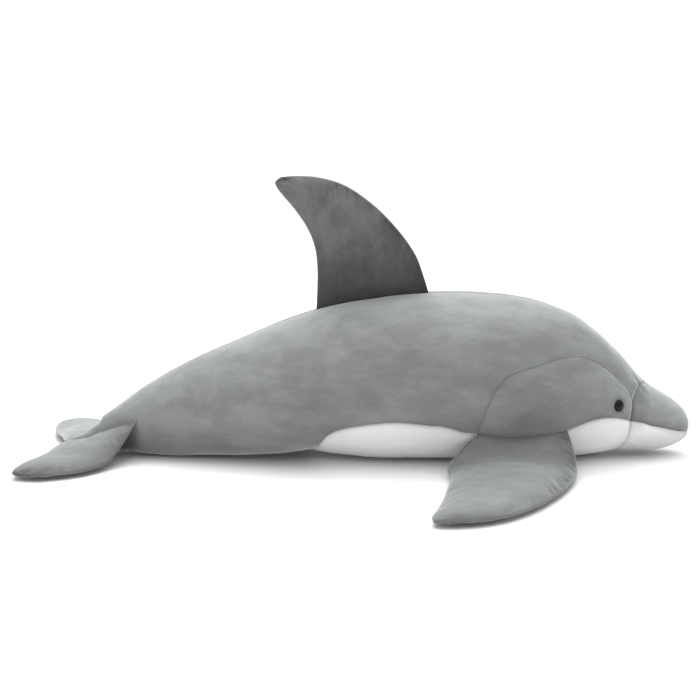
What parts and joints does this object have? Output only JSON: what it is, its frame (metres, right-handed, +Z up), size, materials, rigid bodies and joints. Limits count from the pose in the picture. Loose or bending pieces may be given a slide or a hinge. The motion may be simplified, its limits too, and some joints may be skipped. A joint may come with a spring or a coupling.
{
  "type": "plush dolphin",
  "caption": "Large stuffed plush dolphin lying on its belly, with grey back, white belly and beak underside, and stuffed fins that flap on their seams.",
  "frame": {"origin": "on the surface it lies on, under the centre of its length and width", "axes": "+X towards the tip of the beak, +Y to the animal's left, +Z up"},
  "size_m": [1.2086, 0.88, 0.5098],
  "materials": {
    "grey_plush": "short velvety pile",
    "dark_grey_plush": "short velvety pile",
    "white_plush": "short velvety pile",
    "fibre_filling": "loose polyester fibre",
    "eye_plastic": "polished",
    "washer_plastic": "moulded"
  },
  "bodies": {
    "torso": {"back_panel_right": "grey_plush", "back_panel_left": "grey_plush", "cheek_panel_right": "grey_plush", "cheek_panel_left": "grey_plush", "belly_panel": "white_plush", "beak_panel": "grey_plush", "chin_panel": "white_plush", "torso_filling": "fibre_filling", "eye_right": "eye_plastic", "eye_left": "eye_plastic", "eye_washer_right": "washer_plastic", "eye_washer_left": "washer_plastic"},
    "tail": {"tail_panel_right": "grey_plush", "tail_panel_left": "grey_plush", "tail_filling": "fibre_filling"},
    "dorsal_fin": {"dorsal_panel_right": "dark_grey_plush", "dorsal_panel_left": "dark_grey_plush", "dorsal_filling": "fibre_filling"},
    "flipper_right": {"flipper_top_right": "grey_plush", "flipper_bottom_right": "grey_plush", "flipper_filling_right": "fibre_filling"},
    "fluke_right": {"fluke_top_right": "grey_plush", "fluke_bottom_right": "grey_plush", "fluke_filling_right": "fibre_filling"},
    "flipper_left": {"flipper_top_left": "grey_plush", "flipper_bottom_left": "grey_plush", "flipper_filling_left": "fibre_filling"},
    "fluke_left": {"fluke_top_left": "grey_plush", "fluke_bottom_left": "grey_plush", "fluke_filling_left": "fibre_filling"}
  },
  "joints": [
    {"name": "tail_bend", "type": "hinge", "parent": "torso", "child": "tail", "pos_m": [-0.345, 0, 0.086], "axis": [0, 1, 0], "range_deg": [0, 18], "stiffness_Nm_per_rad": 2},
    {"name": "dorsal_fin_flop", "type": "hinge", "parent": "torso", "child": "dorsal_fin", "pos_m": [0.021, 0, 0.2965], "axis": [0.9924, 0, 0.1228], "range_deg": [-25, 25], "stiffness_Nm_per_rad": 0.5},
    {"name": "flipper_right_flap", "type": "hinge", "parent": "torso", "child": "flipper_right", "pos_m": [0.2815, -0.136, 0.061], "axis": [-0.9961, -0.0877, 0], "range_deg": [0, 50], "stiffness_Nm_per_rad": 0.25},
    {"name": "flipper_left_flap", "type": "hinge", "parent": "torso", "child": "flipper_left", "pos_m": [0.2815, 0.136, 0.061], "axis": [0.9961, -0.0877, 0], "range_deg": [0, 50], "stiffness_Nm_per_rad": 0.25},
    {"name": "fluke_right_flap", "type": "hinge", "parent": "tail", "child": "fluke_right", "pos_m": [-0.4775, -0.035, 0.049], "axis": [-0.9077, 0.284, -0.3087], "range_deg": [0, 30], "stiffness_Nm_per_rad": 0.15},
    {"name": "fluke_left_flap", "type": "hinge", "parent": "tail", "child": "fluke_left", "pos_m": [-0.4775, 0.035, 0.049], "axis": [0.9077, 0.284, 0.3087], "range_deg": [0, 30], "stiffness_Nm_per_rad": 0.15}
  ]
}
